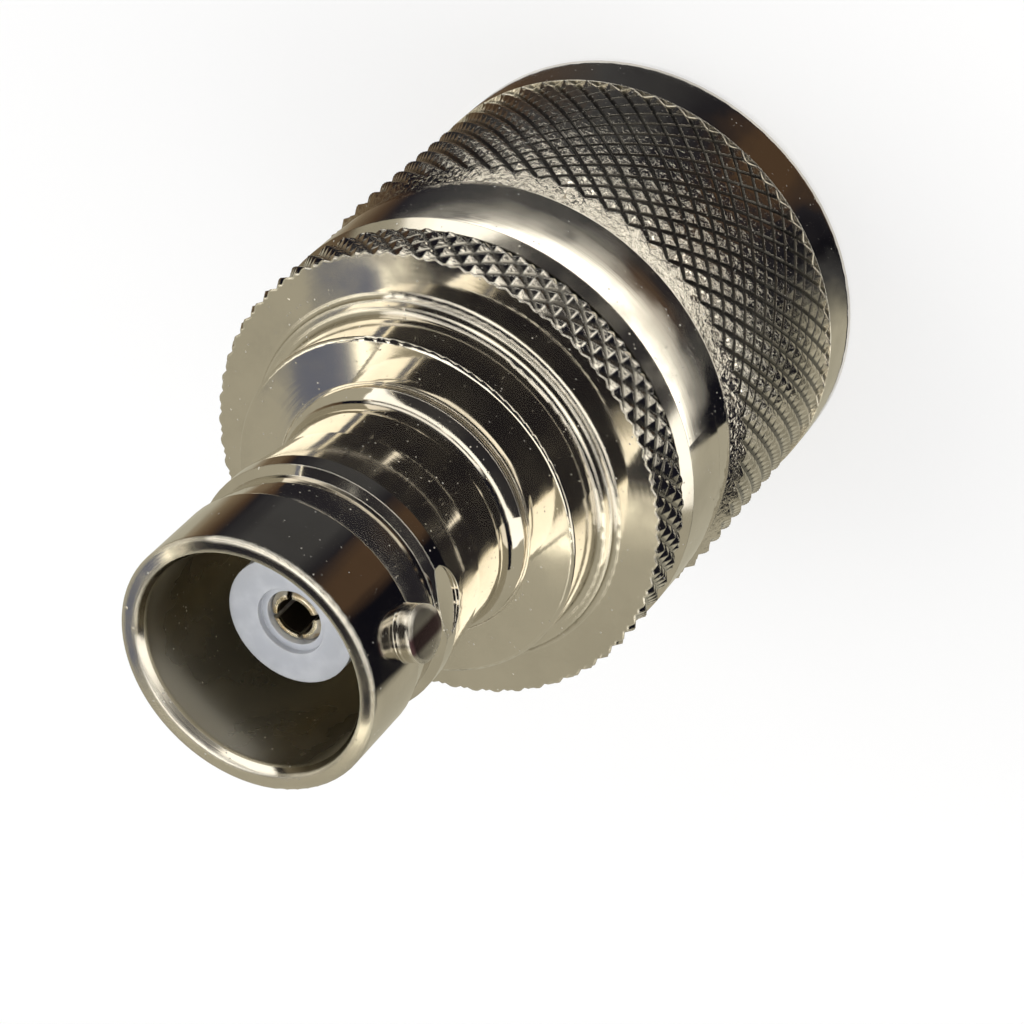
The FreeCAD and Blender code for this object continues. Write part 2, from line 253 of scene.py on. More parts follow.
def make_lamp(name, place, watts):
    """Square soft lamp that faces the adapter's middle."""
    data = bpy.data.lights.new(name, "AREA")
    data.shape = "SQUARE"
    data.size = LAMP_SIZE * MM
    data.energy = watts
    lamp = link(bpy.data.objects.new(name, data))
    turn = (Vector(LAMP_AIM) - Vector(place)).to_track_quat("-Z", "Y").to_matrix().to_4x4()
    lamp.matrix_world = Matrix.Translation(Vector(place) * MM) @ turn
    lamp.visible_glossy = False


make_floor()
make_world()
make_lamp("key lamp", (-180, 120, 320), 0.34)
make_lamp("fill lamp", (200, -120, 260), 0.24)

# %% [markdown]
# A studio for bright metal adds cards: dark ones give the metal its depth, pale ones its
# highlights. Only reflections see these cards. They light nothing else and cast no shadow.
# An upright wall of the metal mirrors the mat that lies round the adapter, so the mat is painted
# by direction: beige behind, a blue-black and a brown field in front, dark grey beside them.
# Near the foot lie a bright arc for the nut's neck and small patches. Far out the mat is dark, with
# one bright field for the flange's knurl.

# %% Studio: cards for the reflections
TOWARDS_CAMERA = math.atan2(CAMERA_PLACE.y, CAMERA_PLACE.x)
BLACK = (0.006, 0.006, 0.010)
DARK = (0.022, 0.021, 0.026)
GREY = (0.068, 0.068, 0.07)
BROWN = (0.095, 0.058, 0.034)
TAN = (0.25, 0.19, 0.12)
BEIGE = (0.50, 0.47, 0.365)
BLUE_GREY = (0.16, 0.175, 0.235)
WHITE = (1.0, 0.97, 0.88)
CREAM = (1.0, 0.93, 0.72)
PALE_CREAM = (1.0, 0.95, 0.80)


def glow_material(name):
    """Material with an emission whose colour and cover are wired by the caller."""
    material = bpy.data.materials.new(name)
    material.use_nodes = True
    material.node_tree.nodes.clear()
    return material


def finish_glow(material, colour, strength=1.0, cover=None):
    """Emission of one colour or of a wired colour. Where cover is 0 the card is see-through."""
    tree = material.node_tree
    if not isinstance(colour, bpy.types.NodeSocket):
        colour = (*colour, 1)
    glow = add(tree, "ShaderNodeEmission", {"Color": colour, "Strength": strength}).outputs[0]
    if cover is not None:
        clear = add(tree, "ShaderNodeBsdfTransparent").outputs[0]
        glow = mix_shader(tree, cover, clear, glow)
    add(tree, "ShaderNodeOutputMaterial", {"Surface": glow})
    return material


def card_material(name, colour, strength=1.0):
    """Even glow of one colour."""
    return finish_glow(glow_material(name), colour, strength)


def make_card(name, shape, material):
    """Card that only reflections see."""
    card = new_piece(name, shape, material)
    card.visible_camera = False
    card.visible_diffuse = False
    card.visible_shadow = False
    card.visible_volume_scatter = False


def swept(ends, start, end, steps):
    """Surface that a short line sweeps round the axis. Angles are degrees from the camera."""
    shape = bmesh.new()
    turn = Matrix.Rotation(TOWARDS_CAMERA + math.radians(start), 3, "Z")
    corners = [shape.verts.new(turn @ Vector((r, 0, h)) * MM) for r, h in ends]
    edge = shape.edges.new(corners)
    bmesh.ops.spin(
        shape,
        geom=[*corners, edge],
        cent=(0, 0, 0),
        axis=(0, 0, 1),
        angle=math.radians(end - start),
        steps=steps,
        use_merge=abs(end - start) > 359,
    )
    return shape


def sector(inner, outer, start, end, height):
    """Flat ring sector about the axis."""
    return swept([(inner, height), (outer, height)], start, end, 60)


def wall(radius, start, end, low, high):
    """Upright curved wall about the axis."""
    return swept([(radius, low), (radius, high)], start, end, 36)


def corner_card(corner, side, height, size):
    """Square card over the adapter with one corner behind it."""
    shape = bmesh.new()
    bmesh.ops.create_grid(shape, x_segments=1, y_segments=1, size=size / 2 * MM)
    bmesh.ops.rotate(shape, verts=shape.verts, matrix=Matrix.Rotation(math.radians(45), 3, "Z"))
    middle = Vector((corner + size / math.sqrt(2), side, height)) * MM
    bmesh.ops.translate(shape, verts=shape.verts, vec=middle)
    turn = Matrix.Rotation(TOWARDS_CAMERA, 3, "Z")
    bmesh.ops.rotate(shape, verts=shape.verts, matrix=turn)
    return shape


def polar(tree):
    """Distance from the axis, direction from -1 to 1 with 0 towards the camera, and height."""
    sockets = {"Vector": millimetres(tree), "Rotation": (0, 0, -TOWARDS_CAMERA)}
    turned = add(tree, "ShaderNodeMapping", sockets).outputs[0]
    parts, _, radius = from_axis(tree, turned)
    angle = maths(tree, "ARCTAN2", parts["Y"], parts["X"])
    return radius, maths(tree, "DIVIDE", angle, math.pi), parts["Z"]


def fading_arc(tree, direction, left, right):
    """1 between two directions, each a pair of degrees: where the fade ends and where it is full."""
    fades = [smooth_step(tree, direction, out / 180, full / 180) for out, full in (left, right)]
    return product(tree, *fades)


def direction_ramp(tree, direction, wobble, size, stops):
    """Colours by direction in degrees, with uneven borders."""
    centred = maths(tree, "SUBTRACT", noise(tree, size, 3.0), 0.5)
    shift = maths(tree, "MULTIPLY", centred, wobble / 90)
    uneven = maths(tree, "ADD", direction, shift)
    share = maths(tree, "MULTIPLY_ADD", uneven, 0.5, 0.5)
    return ramp(tree, share, [((degrees + 180) / 360, colour) for degrees, colour in stops])


# %% Mat round the adapter
MAT_HOLE = 9.4
MAT_REACH = 700
MAT_STOPS = (
    (-180, BEIGE),
    (-100, BEIGE),
    (-88, BLACK),
    (-32, BLACK),
    (-20, BROWN),
    (-2, BROWN),
    (12, DARK),
    (30, GREY),
    (70, GREY),
    (92, DARK),
    (104, BROWN),
    (120, TAN),
    (132, BEIGE),
    (180, BEIGE),
)
FOOT_STOPS = (
    (-180, BEIGE),
    (-55, BEIGE),
    (-38, GREY),
    (-32, BLACK),
    (-22, DARK),
    (-10, BROWN),
    (0, BROWN),
    (12, DARK),
    (45, GREY),
    (75, BROWN),
    (110, TAN),
    (180, BEIGE),
)


def mat_material(name, stops, wobble, size):
    """Mat painted by direction."""
    material = glow_material(name)
    tree = material.node_tree
    direction = polar(tree)[1]
    return finish_glow(material, direction_ramp(tree, direction, wobble, size, stops))


def ring_light_material():
    """Bright arc on the mat that the nut's neck mirrors, soft at its edges and ends."""
    material = glow_material("ring light")
    tree = material.node_tree
    radius, direction, _ = polar(tree)
    rise = smooth_step(tree, radius, 18.2, 18.9)
    fall = smooth_step(tree, radius, 20.3, 19.7)
    arc = fading_arc(tree, direction, (98, 66), (-85, -50))
    return finish_glow(material, WHITE, 3.0, product(tree, rise, fall, arc))


def far_mat_material():
    """Dark far part of the mat with one bright field, which the flange's knurl mirrors."""
    material = glow_material("far mat")
    tree = material.node_tree
    radius, direction, _ = polar(tree)
    rise = smooth_step(tree, radius, 80, 94)
    fall = smooth_step(tree, radius, 260, 220)
    arc = fading_arc(tree, direction, (86, 72), (-28, -14))
    field = product(tree, rise, fall, arc)
    return finish_glow(material, blend(tree, field, BLACK, WHITE), 1.6)


mat_paint = mat_material("mat", MAT_STOPS, wobble=14, size=9)
foot_paint = mat_material("foot mat", FOOT_STOPS, wobble=16, size=2.5)
beige_paint = card_material("beige patch", BEIGE)
dark_paint = card_material("dark patch", DARK)
shade_paint = card_material("shade", DARK)
make_card("mat", sector(MAT_HOLE, MAT_REACH, 0, 360, 0.3), mat_paint)
make_card("foot mat", sector(MAT_HOLE, 13, 0, 360, 0.4), foot_paint)
make_card("beige patch on the mat", sector(13, 29.3, -112, -66, 0.35), beige_paint)
make_card("dark patch on the mat", sector(12.9, 17.2, -34, 22, 0.38), dark_paint)
make_card("far mat", sector(36, MAT_REACH, -100, 100, 0.45), far_mat_material())
make_card("ring light", sector(17.5, 21, -90, 90, 0.5), ring_light_material())
make_card("shade of the ring light", sector(12.95, 14.4, -95, 95, 10), shade_paint)

# %% [markdown]
# The flat faces of the adapter mirror what stands behind and above it: a beige wall, and over
# it a dark square card whose corner cuts a dark sector out of every face. A bright card and a
# blue-grey one show at the dark card's border, and a bright wall on either side brightens the
# barrel's sides. In front stands a dark wall with a broad bright band, which every rounded edge
# picks up, and a bright bar hangs overhead.

# %% Cards above and around
WALL_RADIUS = 240
SIDE_WALL_RADIUS = 236
SIDE_WALL_NEAR = 82
SIDE_WALL_FAR = 152
SIDE_WALL_HEIGHTS = (236, 400)
OVERHEAD_SIZE = 700
BAR_SIZE = (49, 52)
BAR_PLACE = (1.5, 0, 77)


def front_wall_material():
    """Dark wall with one broad bright band and a few pale spots."""
    material = glow_material("front wall")
    tree = material.node_tree
    height = polar(tree)[2]
    band = product(tree, smooth_step(tree, height, 20, 28), smooth_step(tree, height, 230, 190))
    stops = ((0.46, BLACK), (0.56, GREY), (0.63, TAN), (0.70, WHITE))
    spots = ramp(tree, noise(tree, 26, 2.0), stops)
    return finish_glow(material, blend(tree, band, spots, WHITE), 1.8)


def overhead_bar():
    """Flat bar above the adapter, square to the camera's direction."""
    shape = bmesh.new()
    bmesh.ops.create_grid(shape, x_segments=1, y_segments=1, size=0.5)
    bmesh.ops.scale(shape, verts=shape.verts, vec=(*(side * MM for side in BAR_SIZE), 1))
    bmesh.ops.translate(shape, verts=shape.verts, vec=[side * MM for side in BAR_PLACE])
    turn = Matrix.Rotation(TOWARDS_CAMERA, 3, "Z")
    bmesh.ops.rotate(shape, verts=shape.verts, matrix=turn)
    return shape


OVERHEAD_CARDS = (
    ("dark overhead card", "dark card", (-52.3, 0.3, 78), DARK, 1.0),
    ("bright border card", "bright card", (-55.9, 0.3, 80), CREAM, 2.6),
    ("blue-grey card", "blue-grey card", (-60.3, 4.7, 82), BLUE_GREY, 1.0),
)
for name, paint, place, colour, strength in OVERHEAD_CARDS:
    make_card(name, corner_card(*place, OVERHEAD_SIZE), card_material(paint, colour, strength))
make_card("back wall", wall(WALL_RADIUS, 85, 275, 1, 420), card_material("back card", BEIGE))
SIDE_WALLS = (
    ("bright left wall", SIDE_WALL_NEAR, SIDE_WALL_FAR),
    ("bright right wall", -SIDE_WALL_FAR, -SIDE_WALL_NEAR),
)
for name, start, end in SIDE_WALLS:
    shape = wall(SIDE_WALL_RADIUS, start, end, *SIDE_WALL_HEIGHTS)
    make_card(name, shape, card_material(name, PALE_CREAM, 2.3))
make_card("front wall", wall(WALL_RADIUS, -85, 85, 1, 240), front_wall_material())
make_card("overhead bar", overhead_bar(), card_material("overhead bar", WHITE, 2.2))

# %% [markdown]
# Every turned piece carries fine rings that the cutting tool left under the plating. They run
# round the axis, so one number is enough to place them: the height plus a share of the distance
# from the axis. It changes along a cylinder and across a flat face alike. Noise along that number
# gives rings of uneven depth.

# %% Group: turning marks
RADIUS_SHARE = 0.83


def build_turning_marks():
    """Height of the rings left by turning, for a Bump node."""
    group, start, end = new_group("turning marks", {"Spacing": 0.12}, {"Height": "NodeSocketFloat"})
    radius, height = radius_and_height(group)
    along = maths(group, "MULTIPLY_ADD", radius, RADIUS_SHARE, height)
    scale = maths(group, "DIVIDE", 1.0, start.outputs["Spacing"])
    sockets = {"W": along, "Scale": scale, "Detail": 2.0}
    rings = add(group, "ShaderNodeTexNoise", sockets, noise_dimensions="1D")
    group.links.new(rings.outputs["Fac"], end.inputs["Height"])
    return group


turning_marks = build_turning_marks()

# %% [markdown]
# Dust and tiny pits show as bright points wherever the metal mirrors something dark. Each cell of
# a Voronoi texture holds one point. Only a share of the cells, picked by the cell's own random
# colour, keeps it.

# %% Group: specks
def build_specks():
    """Mask of small round specks."""
    inputs = {"Spacing": 0.3, "Share": 0.2, "Size": 0.2}
    group, start, end = new_group("specks", inputs, {"Mask": "NodeSocketFloat"})
    scale = maths(group, "DIVIDE", 1.0, start.outputs["Spacing"])
    cells = add(group, "ShaderNodeTexVoronoi", {"Vector": millimetres(group), "Scale": scale})
    core = maths(group, "MULTIPLY", start.outputs["Size"], 0.5)
    dot = smooth_step(group, cells.outputs["Distance"], start.outputs["Size"], core)
    pick = add(group, "ShaderNodeSeparateColor", {0: cells.outputs["Color"]}).outputs[0]
    kept = maths(group, "LESS_THAN", pick, start.outputs["Share"])
    group.links.new(maths(group, "MULTIPLY", dot, kept), end.inputs["Mask"])
    return group


specks = build_specks()

# %% [markdown]
# Handling leaves a film that is thicker in some places: the mirror is duller there. Soft
# three-dimensional noise, pushed towards its extremes, gives such blotches.

# %% Group: blotches
def build_blotches():
    """Mask of soft uneven patches."""
    group, start, end = new_group("blotches", {"Size": 2.0}, {"Mask": "NodeSocketFloat"})
    scale = maths(group, "DIVIDE", 1.0, start.outputs["Size"])
    sockets = {"Vector": millimetres(group), "Scale": scale, "Detail": 4.0}
    lumps = add(group, "ShaderNodeTexNoise", sockets).outputs["Fac"]
    group.links.new(smooth_step(group, lumps, 0.38, 0.68), end.inputs["Mask"])
    return group


blotches = build_blotches()

# %% [markdown]
# The bottoms of the knurl's grooves are painted dark: partly dirt that a cloth doesn't reach, partly
# painted shade. The grooves lie nearer to the axis than the crests, so the distance from the axis
# tells them apart. The crests keep a little of the cylinder they were rolled from, so there the
# surface mirrors like a smooth cylinder: its normal points straight away from the axis. Where the
# grooves run out over the nut's cone, the crests get nearer to the axis and the normal leans with the
# cone.

# %% Group: knurl hollows
KNURL_DEPTH = 0.22
NUT_CREST = 9.30
NUT_KNURL = (2.4, 10.5)
NUT_RUN_OUT = 0.77
NUT_CONE_SLOPE = 0.545
FLANGE_CREST = 9.05
FLANGE_KNURL = (15.68, 17.52)


def build_knurl_hollows():
    """Masks of a knurl's grooves and of its crests, and the normal of a smooth cylinder."""
    inputs = {
        "Crest radius": NUT_CREST,
        "Depth": KNURL_DEPTH,
        "Lowest": NUT_KNURL[0],
        "Highest": NUT_KNURL[1],
        "Run-out": 0.0,
        "Slope": 0.0,
    }
    outputs = {
        "Hollow": "NodeSocketFloat",
        "Crest": "NodeSocketFloat",
        "Outward": "NodeSocketVector",
    }
    group, start, end = new_group("knurl hollows", inputs, outputs)
    given = start.outputs
    parts, across, radius = from_axis(group, millimetres(group))
    beyond = maths(group, "SUBTRACT", parts["Z"], given["Highest"])
    beyond = maths(group, "MAXIMUM", beyond, 0.0)
    drop = maths(group, "MULTIPLY", beyond, given["Slope"])
    crest_radius = maths(group, "SUBTRACT", given["Crest radius"], drop)
    below = maths(group, "SUBTRACT", crest_radius, radius)
    share = maths(group, "DIVIDE", below, given["Depth"])
    near = maths(group, "LESS_THAN", share, 1.15)
    above = maths(group, "GREATER_THAN", parts["Z"], given["Lowest"])
    reach = maths(group, "ADD", given["Run-out"], 0.001)
    under = maths(group, "LESS_THAN", beyond, reach)
    zone = maths(group, "MULTIPLY", near, maths(group, "MULTIPLY", above, under))
    hollow = maths(group, "MULTIPLY", smooth_step(group, share, 0.62, 0.88), zone)
    crest = maths(group, "MULTIPLY", smooth_step(group, share, 0.80, 0.72), zone)
    on_cone = maths(group, "MULTIPLY", smooth_step(group, beyond, 0.0, 0.12), given["Slope"])
    rise = add(group, "ShaderNodeCombineXYZ", {"Z": maths(group, "MULTIPLY", on_cone, radius)})
    both = {0: across, 1: rise.outputs[0]}
    leaning = add(group, "ShaderNodeVectorMath", both, operation="ADD").outputs[0]
    straight = add(group, "ShaderNodeVectorMath", {0: leaning}, operation="NORMALIZE")
    sockets = {"Vector": straight.outputs[0]}
    settings = {"vector_type": "NORMAL", "convert_from": "OBJECT", "convert_to": "WORLD"}
    outward = add(group, "ShaderNodeVectorTransform", sockets, **settings).outputs[0]
    group.links.new(hollow, end.inputs["Hollow"])
    group.links.new(crest, end.inputs["Crest"])
    group.links.new(outward, end.inputs["Outward"])
    return group


knurl_hollows = build_knurl_hollows()

# %% [markdown]
# No edge of a plated piece is truly sharp: plating builds up there and the edge catches a thin
# line of light. The Bevel node bends the normals near an edge as if it were rounded. Where the
# bent normal leaves the true one, there is an edge, and the finishes paint it paler there: a
# painted highlight, on the nickel partly an edge polished by handling.

# %% Group: edges
def build_edges():
    """Normals with softened edges, and a mask of the edges."""
    outputs = {"Normal": "NodeSocketVector", "Mask": "NodeSocketFloat"}
    group, start, end = new_group("edges", {"Radius": 0.05}, outputs)
    radius = maths(group, "MULTIPLY", start.outputs["Radius"], MM)
    bent = add(group, "ShaderNodeBevel", {"Radius": radius}, samples=4).outputs["Normal"]
    true = add(group, "ShaderNodeNewGeometry").outputs["Normal"]
    match = add(group, "ShaderNodeVectorMath", {0: bent, 1: true}, operation="DOT_PRODUCT")
    group.links.new(bent, end.inputs["Normal"])
    group.links.new(smooth_step(group, match.outputs["Value"], 0.995, 0.92), end.inputs["Mask"])
    return group


edges = build_edges()
print("node groups:", [group.name for group in bpy.data.node_groups])

# %% [markdown]
# Some edges are rounder than others. The moulding under the body, the mouth's lip, the studs and
# the flange's knurl were tumbled or worn, so the light lies on them in broad bands. Their place on
# the shell picks the radius.

# %% Group: softness
EDGE_RADIUS = 0.05
SOFT_ZONES = (
    ((3.9, 5.0), (30.35, 31.0), 0.17),
    ((4.95, 5.6), (27.0, 29.5), 0.3),
    ((6.75, 7.7), (17.6, 18.3), 0.09),
    ((8.5, 9.3), (15.5, 17.7), 0.07),
)


def build_softness():
    """Radius of the shell's softened edges, by place."""
    group, start, end = new_group("softness", {}, {"Radius": "NodeSocketFloat"})
    radius, height = radius_and_height(group)
    total = EDGE_RADIUS
    for across, along, extra in SOFT_ZONES:
        inside = product(group, between(group, radius, *across), between(group, height, *along))
        total = maths(group, "MULTIPLY_ADD", inside, extra, total)
    group.links.new(total, end.inputs["Radius"])
    return group


softness = build_softness()

# %% [markdown]
# The shell and the nut are plated alike, but the nut is handled more: the bottoms of its knurl's
# grooves are painted darker, partly dirt and partly painted shade, and its mirror is duller. One
# function makes these finishes, and the pin's, from the same groups and different values. The shell
# has two places of its own: the barrel's bore is duller than the outside and painted darker as
# shade inside it, and the studs' ends are rougher, with a dark purple band painted across their
# middle as a reflection.

# %% Nickel plating
NICKEL = (0.68, 0.64, 0.57)
WORN_EDGE_AND_HIGHLIGHT_NICKEL = (0.78, 0.75, 0.69)
FILM = (0.52, 0.49, 0.43)
GROOVE_DIRT_AND_SHADE = (0.035, 0.033, 0.031)
SHADED_BORE_NICKEL = (0.44, 0.40, 0.31)
DUST = (0.62, 0.60, 0.54)
PAINTED_STUD_REFLECTION = (0.10, 0.055, 0.062)


def use(tree, group, **sockets):
    """Place a node group and set its inputs. An underscore stands for a space."""
    node = tree.nodes.new("ShaderNodeGroup")
    node.node_tree = group
    for name, value in sockets.items():
        node.inputs[name.replace("_", " ")].default_value = value
    return node


def new_finish(name):
    """Material with its Principled surface."""
    material = bpy.data.materials.new(name)
    material.use_nodes = True
    return material, material.node_tree, material.node_tree.nodes["Principled BSDF"]


def bore_mask(tree):
    """1 inside the barrel's bore, 0 elsewhere."""
    radius, height = radius_and_height(tree)
    return maths(tree, "MULTIPLY", between(tree, radius, 0, 4.12), between(tree, height, 22.3, 30.6))


def stud_end_mask(tree):
    """1 on the ends of the bayonet studs, 0 elsewhere."""
    radius, height = radius_and_height(tree)
    return maths(tree, "MULTIPLY", between(tree, radius, 5.42, 5.7), between(tree, height, 27.2, 29.3))


def bumped(tree, height, normal, depth):
    """Normal bent by a height mask of the given depth in millimetres."""
    sockets = {"Height": height, "Normal": normal, "Distance": depth * MM}
    return add(tree, "ShaderNodeBump", sockets).outputs["Normal"]


def shell_shade_and_wear(tree, edge, colour, rough):
    """Colour and roughness with the shell's duller bore in painted shade, rougher stud ends with a
    painted reflection, and softer edges.
    """
    tree.links.new(use(tree, softness).outputs["Radius"], edge.inputs["Radius"])
    bore = bore_mask(tree)
    # The bore's colour is darkened as painted shade; its rougher finish is real.
    colour = blend(tree, bore, colour, SHADED_BORE_NICKEL)
    rough = maths(tree, "MULTIPLY_ADD", bore, 0.2, rough)
    stud_end = stud_end_mask(tree)
    rough = maths(tree, "MULTIPLY_ADD", stud_end, 0.2, rough)
    parts = add(tree, "ShaderNodeSeparateXYZ", {0: millimetres(tree)})
    from_middle = maths(tree, "ABSOLUTE", parts.outputs["Y"])
    # A dark purple band painted across the middle of each stud's end: a painted reflection.
    painted_reflection = maths(tree, "MULTIPLY", stud_end, smooth_step(tree, from_middle, 0.5, 0.2))
    return blend(tree, painted_reflection, colour, PAINTED_STUD_REFLECTION), rough


def nickel_finish(name, crest, heights, crest_share, groove_dirt_and_shade, film, roughness, spacing, cone=None):
    """Bright nickel over turned and knurled brass. cone is the knurl's run-out and its slope."""
    material, tree, surface = new_finish(name)
    edge = use(tree, edges, Radius=EDGE_RADIUS)
    patches = use(tree, blotches, Size=2.6).outputs["Mask"]
    grains = use(tree, specks, Spacing=0.17, Share=0.13, Size=0.25).outputs["Mask"]
    drift = use(tree, blotches, Size=1.1).outputs["Mask"]
    dust = maths(tree, "MULTIPLY", maths(tree, "MULTIPLY", grains, drift), 0.6)
    pits = use(tree, specks, Spacing=0.7, Share=0.08, Size=0.1).outputs["Mask"]
    knurl = use(tree, knurl_hollows, Crest_radius=crest, Lowest=heights[0], Highest=heights[1])
    if cone:
        knurl.inputs["Run-out"].default_value, knurl.inputs["Slope"].default_value = cone
    hollow = knurl.outputs["Hollow"]
    filmed = maths(tree, "MULTIPLY", patches, film)
    colour = blend(tree, filmed, NICKEL, FILM)
    # Edges painted paler: a painted highlight, partly polish from handling.
    colour = blend(tree, edge.outputs["Mask"], colour, WORN_EDGE_AND_HIGHLIGHT_NICKEL)
    # Groove bottoms painted dark: partly dirt, partly painted shade.
    colour = blend(tree, maths(tree, "MULTIPLY", hollow, groove_dirt_and_shade), colour, GROOVE_DIRT_AND_SHADE)
    rough = maths(tree, "MULTIPLY_ADD", patches, film * 0.16, roughness)
    rough = maths(tree, "MULTIPLY_ADD", hollow, 0.12, rough)
    rough = maths(tree, "MULTIPLY_ADD", dust, 0.4, rough)
    colour = blend(tree, dust, colour, DUST)
    if name == "shell nickel":
        colour, rough = shell_shade_and_wear(tree, edge, colour, rough)
    share = maths(tree, "MULTIPLY", knurl.outputs["Crest"], crest_share)
    sockets = {0: share, 4: edge.outputs["Normal"], 5: knurl.outputs["Outward"]}
    rolled = add(tree, "ShaderNodeMix", sockets, data_type="VECTOR").outputs[1]
    marks = use(tree, turning_marks, Spacing=spacing).outputs["Height"]
    normal = bumped(tree, marks, rolled, 0.0006)
    normal = bumped(tree, dust, normal, 0.006)
    normal = bumped(tree, pits, normal, 0.012)
    grain = maths(tree, "MULTIPLY", use(tree, blotches, Size=0.18).outputs["Mask"], share)
    normal = bumped(tree, grain, normal, 0.012)
    tree.links.new(maths(tree, "SUBTRACT", 1.0, dust), surface.inputs["Metallic"])
    tree.links.new(colour, surface.inputs["Base Color"])
    tree.links.new(rough, surface.inputs["Roughness"])
    tree.links.new(normal, surface.inputs["Normal"])
    return material


shell_nickel = nickel_finish(
    "shell nickel",
    FLANGE_CREST,
    FLANGE_KNURL,
    crest_share=0.1,
    groove_dirt_and_shade=0.5,
    film=0.45,
    roughness=0.055,
    spacing=0.16,
)
nut_nickel = nickel_finish(
    "nut nickel",
    NUT_CREST,
    NUT_KNURL,
    crest_share=0.75,
    groove_dirt_and_shade=0.9,
    film=0.6,
    roughness=0.07,
    spacing=0.2,
    cone=(NUT_RUN_OUT, NUT_CONE_SLOPE),
)
pin_nickel = nickel_finish(
    "pin nickel",
    NUT_CREST,
    NUT_KNURL,
    crest_share=0.0,
    groove_dirt_and_shade=0.0,
    film=0.5,
    roughness=0.08,
    spacing=0.1,
)
print("nickel finishes:", shell_nickel.name, nut_nickel.name, pin_nickel.name)

# %% [markdown]
# The insulators are turned from a white fluoropolymer. It is slightly translucent, so it looks
# milky and a little blue, with a soft sheen and faint rings from turning.

# %% Insulator
MILKY = (0.52, 0.545, 0.60)
MILKY_PALE = (0.59, 0.615, 0.67)
MILKY_EDGE_HIGHLIGHT = (0.64, 0.665, 0.72)
LINT = (0.34, 0.33, 0.32)


def insulator_finish():
    """Milky turned plastic."""
    material, tree, surface = new_finish("milky insulator")
    patches = use(tree, blotches, Size=0.9).outputs["Mask"]
    dust = use(tree, specks, Spacing=0.35, Share=0.05, Size=0.12).outputs["Mask"]
    edge = use(tree, edges, Radius=0.07)
    colour = blend(tree, patches, MILKY, MILKY_PALE)
    # Edges painted paler: a painted highlight.
    colour = blend(tree, edge.outputs["Mask"], colour, MILKY_EDGE_HIGHLIGHT)
    colour = blend(tree, dust, colour, LINT)
    marks = use(tree, turning_marks, Spacing=0.14).outputs["Height"]
    ringed = bumped(tree, marks, edge.outputs["Normal"], 0.004)
    tree.links.new(colour, surface.inputs["Base Color"])
    tree.links.new(maths(tree, "MULTIPLY_ADD", patches, 0.12, 0.34), surface.inputs["Roughness"])
    tree.links.new(ringed, surface.inputs["Normal"])
    surface.inputs["Subsurface Weight"].default_value = 0.25
    surface.inputs["Subsurface Radius"].default_value = (1.0, 1.0, 1.1)
    surface.inputs["Subsurface Scale"].default_value = 0.4 * MM
    return material


insulator_plastic = insulator_finish()

# %% [markdown]
# The centre contact is gold plated and small. Below the mouth and near the axis its socket is
# painted dark brown, a painted shade where no light reaches, and its finish is duller there.

# %% Contact
PALE_GOLD = (0.90, 0.84, 0.70)
DEEP_GOLD = (0.58, 0.46, 0.29)
SOCKET_SHADE_BROWN = (0.05, 0.04, 0.03)


def contact_finish():
    """Thin gold with painted shade in its socket."""
    material, tree, surface = new_finish("contact gold")
    radius, height = radius_and_height(tree)
    inside = smooth_step(tree, radius, 0.80, 0.71)
    below = smooth_step(tree, height, 27.62, 27.45)
    socket = maths(tree, "MULTIPLY", inside, below)
    patches = use(tree, blotches, Size=0.5).outputs["Mask"]
    edge = use(tree, edges, Radius=0.09)
    colour = blend(tree, patches, PALE_GOLD, DEEP_GOLD)
    # Painted shade: the socket below the mouth turns dark brown.
    colour = blend(tree, socket, colour, SOCKET_SHADE_BROWN)
    rough = maths(tree, "MULTIPLY_ADD", patches, 0.1, 0.12)
    rough = maths(tree, "MULTIPLY_ADD", socket, 0.4, rough)
    marks = use(tree, turning_marks, Spacing=0.08).outputs["Height"]
    ringed = bumped(tree, marks, edge.outputs["Normal"], 0.0008)
    surface.inputs["Metallic"].default_value = 1.0
    tree.links.new(colour, surface.inputs["Base Color"])
    tree.links.new(rough, surface.inputs["Roughness"])
    tree.links.new(ringed, surface.inputs["Normal"])
    return material


contact_gold = contact_finish()

# %% [markdown]
# The snap ring is bare spring steel, flattened wire with long drawing lines along it. It hides
# between the race and the nut and shows only in a cut view, but it gets its own finish as well.

# %% Snap ring
STEEL = (0.46, 0.46, 0.46)
STEEL_BLUED = (0.24, 0.25, 0.29)


def spring_finish():
    """Drawn spring steel with blued patches."""
    material, tree, surface = new_finish("spring steel")
    patches = use(tree, blotches, Size=1.2).outputs["Mask"]
    lines = use(tree, turning_marks, Spacing=0.05).outputs["Height"]
    bump = add(tree, "ShaderNodeBump", {"Height": lines, "Distance": 0.003 * MM})
    surface.inputs["Metallic"].default_value = 1.0
    tree.links.new(blend(tree, patches, STEEL, STEEL_BLUED), surface.inputs["Base Color"])
    tree.links.new(maths(tree, "MULTIPLY_ADD", lines, 0.2, 0.28), surface.inputs["Roughness"])
    tree.links.new(bump.outputs["Normal"], surface.inputs["Normal"])
    return material


spring_steel = spring_finish()

# %% [markdown]
# The exact model's nodes keep their shapes and only change their finish.

# %% Finish of the exact model's nodes
FINISHES = {
    "bnc_shell": shell_nickel,
    "bnc_insulator": insulator_plastic,
    "bnc_contact": contact_gold,
    "uhf_insulator": insulator_plastic,
    "uhf_center_pin": pin_nickel,
    "uhf_ferrule": shell_nickel,
    "snap_ring": spring_steel,
    "coupling_nut": nut_nickel,
}
for name, finish in FINISHES.items():
    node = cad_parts[name]
    node.data.materials.clear()
    node.data.materials.append(finish)
    print(name, "->", finish.name)

# %% [markdown]
# The nut's thread is the one form that the exact model leaves as a plain bore, drawn at the
# thread's root. A real one is a ridge that climbs round the bore like a spiral stair. A small
# outline, swept round the axis while it moves along it, makes that ridge: the spin operator takes
# a step along the axis as well as an angle. Twenty-four turns to the inch set its climb.

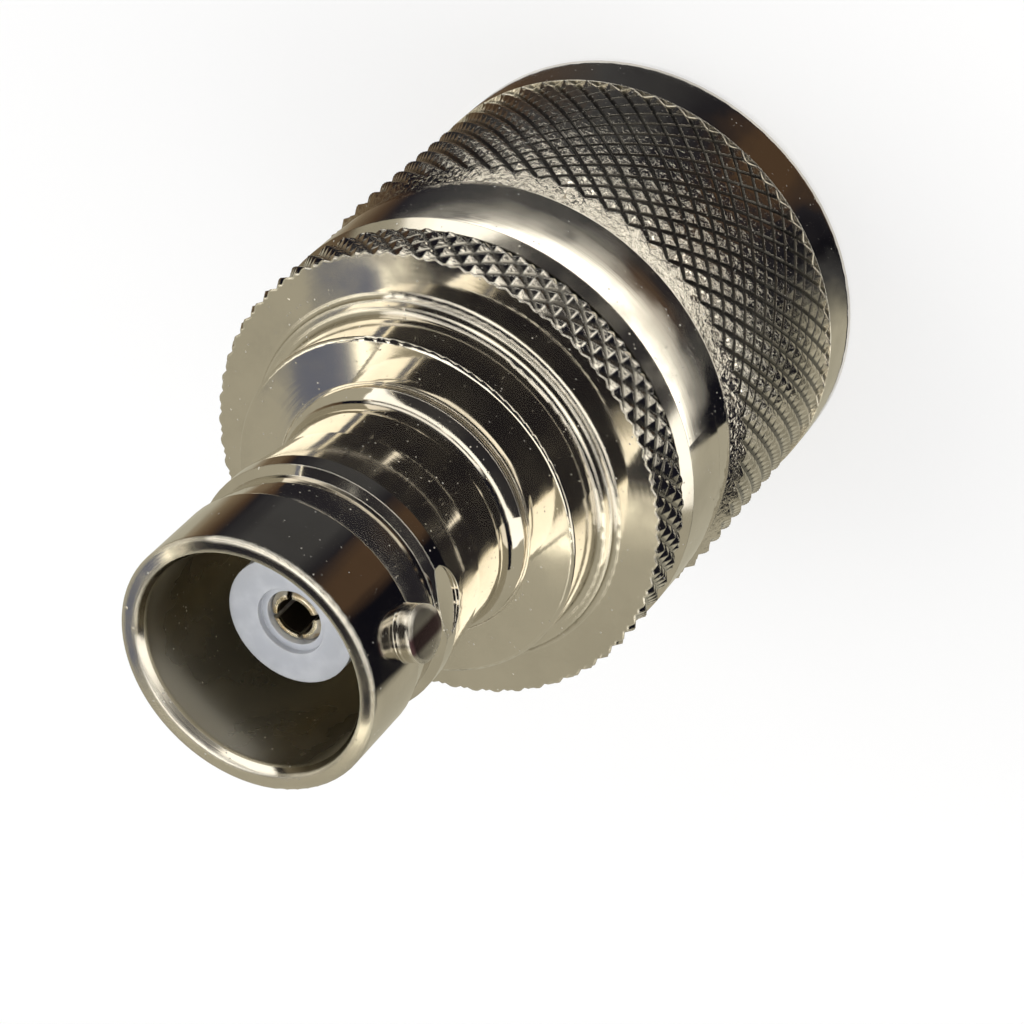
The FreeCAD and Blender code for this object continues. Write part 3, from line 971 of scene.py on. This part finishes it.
# %% Thread of the nut
INCH = 25.4
THREAD_PITCH = INCH / 24
THREAD_START = 1.0
THREAD_TURNS = 8
THREAD_ROOT = 7.98
THREAD_CREST = 7.4
STEPS_PER_TURN = 72
RUN_OUT_TURNS = 0.2
RIDGE_OVERLAP = 0.03
RIDGE_BASE = THREAD_ROOT + RIDGE_OVERLAP
RIDGE_HALF_FOOT = 0.46
RIDGE_HALF_TOP = 0.1
LEAST_RIDGE = 0.1


def run_out(shape):
    """Let the ridge rise from the bore and sink into it again over its first and last part."""
    full = RIDGE_BASE - THREAD_CREST
    for vertex in shape.verts:
        radius = math.hypot(vertex.co.x, vertex.co.y) / MM
        share = math.atan2(vertex.co.y, vertex.co.x) / math.tau % 1
        climbed = (vertex.co.z / MM - THREAD_START) / THREAD_PITCH
        turn = share + round(climbed - share)
        to_end = min(turn, THREAD_TURNS - turn)
        height = max(LEAST_RIDGE, min(1, to_end / RUN_OUT_TURNS))
        new_radius = RIDGE_BASE - full * height
        if radius < THREAD_ROOT and height < 1:
            vertex.co.x *= new_radius / radius
            vertex.co.y *= new_radius / radius


def make_thread(material):
    """Closed ridge with a blunt crest that climbs round the nut's bore."""
    shape = bmesh.new()
    outline = (
        (RIDGE_BASE, -RIDGE_HALF_FOOT),
        (THREAD_CREST, -RIDGE_HALF_TOP),
        (THREAD_CREST, RIDGE_HALF_TOP),
        (RIDGE_BASE, RIDGE_HALF_FOOT),
    )
    corners = [(r * MM, 0, (THREAD_START + z * THREAD_PITCH) * MM) for r, z in outline]
    start = shape.faces.new([shape.verts.new(c) for c in corners])
    bmesh.ops.spin(
        shape,
        geom=[start, *start.edges, *start.verts],
        cent=(0, 0, 0),
        axis=(0, 0, 1),
        dvec=(0, 0, THREAD_PITCH / STEPS_PER_TURN * MM),
        angle=math.tau * THREAD_TURNS,
        steps=STEPS_PER_TURN * THREAD_TURNS,
    )
    bmesh.ops.remove_doubles(shape, verts=shape.verts, dist=1e-7)
    run_out(shape)
    bmesh.ops.recalc_face_normals(shape, faces=shape.faces)
    thread = new_piece("nut_thread", shape, material)
    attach(thread, "nut")
    return thread


thread = make_thread(nut_nickel)
print("thread:", len(thread.data.polygons), "faces")
